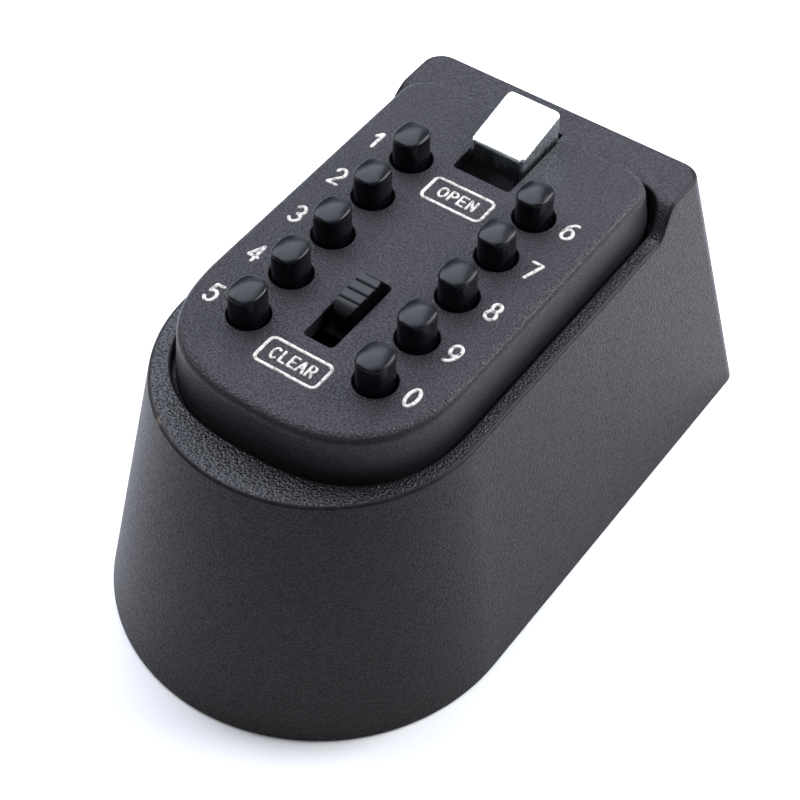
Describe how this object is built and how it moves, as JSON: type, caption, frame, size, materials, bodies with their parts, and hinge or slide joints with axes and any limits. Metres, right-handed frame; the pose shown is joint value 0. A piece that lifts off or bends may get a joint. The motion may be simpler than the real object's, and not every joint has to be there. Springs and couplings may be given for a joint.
{
  "type": "key lock box",
  "caption": "Wall key safe: drafted metal case with a tilting lid, sprung digit buttons over settable code stems, an open lever and a clear slider.",
  "frame": {"origin": "centre of the flat back face, on the plane that rests against the wall", "axes": "+Z out of the lid, +Y towards the hooded end that is the top on a wall, +X across the case"},
  "size_m": [0.0636, 0.1046, 0.0553],
  "materials": {
    "case_paint": "warm charcoal fine-textured powder coat",
    "lid_paint": "warm charcoal fine-textured powder coat",
    "button_plastic": "black moulded plastic, satin gloss",
    "slider_plastic": "black moulded plastic",
    "lever_metal": "bright plated die casting",
    "plate_steel": "bare pressed steel",
    "tray_plastic": "dark moulded plastic",
    "spring_steel": "bare spring wire",
    "screw_steel": "zinc plated steel",
    "code_brass": "bare turned brass"
  },
  "bodies": {
    "case": {"case": "case_paint", "key_tub": "case_paint"},
    "lid": {"lid_cover": "lid_paint", "chassis_plate": "plate_steel", "mechanism_tray": "tray_plastic", "mechanism_screw_1": "screw_steel", "mechanism_screw_2": "screw_steel", "mechanism_screw_3": "screw_steel", "mechanism_screw_4": "screw_steel", "button_spring_0": "spring_steel", "button_spring_1": "spring_steel", "button_spring_2": "spring_steel", "button_spring_3": "spring_steel", "button_spring_4": "spring_steel", "button_spring_5": "spring_steel", "button_spring_6": "spring_steel", "button_spring_7": "spring_steel", "button_spring_8": "spring_steel", "button_spring_9": "spring_steel", "open_spring": "spring_steel", "clear_spring": "spring_steel"},
    "opener": {"open_lever": "lever_metal", "latch_bolt": "plate_steel", "gate_plate": "plate_steel"},
    "clearer": {"clear_slider": "slider_plastic", "hold_down_plate": "plate_steel"},
    "button_0": {"button_0": "button_plastic"},
    "code_stem_0": {"code_stem_0": "code_brass"},
    "button_1": {"button_1": "button_plastic"},
    "code_stem_1": {"code_stem_1": "code_brass"},
    "button_2": {"button_2": "button_plastic"},
    "code_stem_2": {"code_stem_2": "code_brass"},
    "button_3": {"button_3": "button_plastic"},
    "code_stem_3": {"code_stem_3": "code_brass"},
    "button_4": {"button_4": "button_plastic"},
    "code_stem_4": {"code_stem_4": "code_brass"},
    "button_5": {"button_5": "button_plastic"},
    "code_stem_5": {"code_stem_5": "code_brass"},
    "button_6": {"button_6": "button_plastic"},
    "code_stem_6": {"code_stem_6": "code_brass"},
    "button_7": {"button_7": "button_plastic"},
    "code_stem_7": {"code_stem_7": "code_brass"},
    "button_8": {"button_8": "button_plastic"},
    "code_stem_8": {"code_stem_8": "code_brass"},
    "button_9": {"button_9": "button_plastic"},
    "code_stem_9": {"code_stem_9": "code_brass"}
  },
  "joints": [
    {"name": "lid_tilt", "type": "hinge", "parent": "case", "child": "lid", "pos_m": [0, -0.036, 0.0424], "axis": [1, 0, 0], "range_deg": [0, 70]},
    {"name": "open_slide", "type": "slide", "parent": "lid", "child": "opener", "axis": [0, -1, 0], "range_m": [0, 0.003], "stiffness_N_per_m": 400, "springref_m": -0.003},
    {"name": "clear_slide", "type": "slide", "parent": "lid", "child": "clearer", "axis": [0, -1, 0], "range_m": [0, 0.0042], "stiffness_N_per_m": 300, "springref_m": -0.003},
    {"name": "button_0_press", "type": "slide", "parent": "lid", "child": "button_0", "axis": [0, 0, -1], "range_m": [0, 0.0025], "stiffness_N_per_m": 500, "springref_m": -0.0015, "deforming": ["button_spring_0"]},
    {"name": "code_0_turn", "type": "hinge", "parent": "button_0", "child": "code_stem_0", "pos_m": [0.01075, -0.0214, 0.03], "axis": [0, 0, 1], "range_deg": [0, 180]},
    {"name": "button_1_press", "type": "slide", "parent": "lid", "child": "button_1", "axis": [0, 0, -1], "range_m": [0, 0.0025], "stiffness_N_per_m": 500, "springref_m": -0.0015, "deforming": ["button_spring_1"]},
    {"name": "code_1_turn", "type": "hinge", "parent": "button_1", "child": "code_stem_1", "pos_m": [-0.01075, 0.0178, 0.03], "axis": [0, 0, 1], "range_deg": [0, 180]},
    {"name": "button_2_press", "type": "slide", "parent": "lid", "child": "button_2", "axis": [0, 0, -1], "range_m": [0, 0.0025], "stiffness_N_per_m": 500, "springref_m": -0.0015, "deforming": ["button_spring_2"]},
    {"name": "code_2_turn", "type": "hinge", "parent": "button_2", "child": "code_stem_2", "pos_m": [-0.01075, 0.008, 0.03], "axis": [0, 0, 1], "range_deg": [0, 180]},
    {"name": "button_3_press", "type": "slide", "parent": "lid", "child": "button_3", "axis": [0, 0, -1], "range_m": [0, 0.0025], "stiffness_N_per_m": 500, "springref_m": -0.0015, "deforming": ["button_spring_3"]},
    {"name": "code_3_turn", "type": "hinge", "parent": "button_3", "child": "code_stem_3", "pos_m": [-0.01075, -0.0018, 0.03], "axis": [0, 0, 1], "range_deg": [0, 180]},
    {"name": "button_4_press", "type": "slide", "parent": "lid", "child": "button_4", "axis": [0, 0, -1], "range_m": [0, 0.0025], "stiffness_N_per_m": 500, "springref_m": -0.0015, "deforming": ["button_spring_4"]},
    {"name": "code_4_turn", "type": "hinge", "parent": "button_4", "child": "code_stem_4", "pos_m": [-0.01075, -0.0116, 0.03], "axis": [0, 0, 1], "range_deg": [0, 180]},
    {"name": "button_5_press", "type": "slide", "parent": "lid", "child": "button_5", "axis": [0, 0, -1], "range_m": [0, 0.0025], "stiffness_N_per_m": 500, "springref_m": -0.0015, "deforming": ["button_spring_5"]},
    {"name": "code_5_turn", "type": "hinge", "parent": "button_5", "child": "code_stem_5", "pos_m": [-0.01075, -0.0214, 0.03], "axis": [0, 0, 1], "range_deg": [0, 180]},
    {"name": "button_6_press", "type": "slide", "parent": "lid", "child": "button_6", "axis": [0, 0, -1], "range_m": [0, 0.0025], "stiffness_N_per_m": 500, "springref_m": -0.0015, "deforming": ["button_spring_6"]},
    {"name": "code_6_turn", "type": "hinge", "parent": "button_6", "child": "code_stem_6", "pos_m": [0.01075, 0.0178, 0.03], "axis": [0, 0, 1], "range_deg": [0, 180]},
    {"name": "button_7_press", "type": "slide", "parent": "lid", "child": "button_7", "axis": [0, 0, -1], "range_m": [0, 0.0025], "stiffness_N_per_m": 500, "springref_m": -0.0015, "deforming": ["button_spring_7"]},
    {"name": "code_7_turn", "type": "hinge", "parent": "button_7", "child": "code_stem_7", "pos_m": [0.01075, 0.008, 0.03], "axis": [0, 0, 1], "range_deg": [0, 180]},
    {"name": "button_8_press", "type": "slide", "parent": "lid", "child": "button_8", "axis": [0, 0, -1], "range_m": [0, 0.0025], "stiffness_N_per_m": 500, "springref_m": -0.0015, "deforming": ["button_spring_8"]},
    {"name": "code_8_turn", "type": "hinge", "parent": "button_8", "child": "code_stem_8", "pos_m": [0.01075, -0.0018, 0.03], "axis": [0, 0, 1], "range_deg": [0, 180]},
    {"name": "button_9_press", "type": "slide", "parent": "lid", "child": "button_9", "axis": [0, 0, -1], "range_m": [0, 0.0025], "stiffness_N_per_m": 500, "springref_m": -0.0015, "deforming": ["button_spring_9"]},
    {"name": "code_9_turn", "type": "hinge", "parent": "button_9", "child": "code_stem_9", "pos_m": [0.01075, -0.0116, 0.03], "axis": [0, 0, 1], "range_deg": [0, 180]}
  ]
}
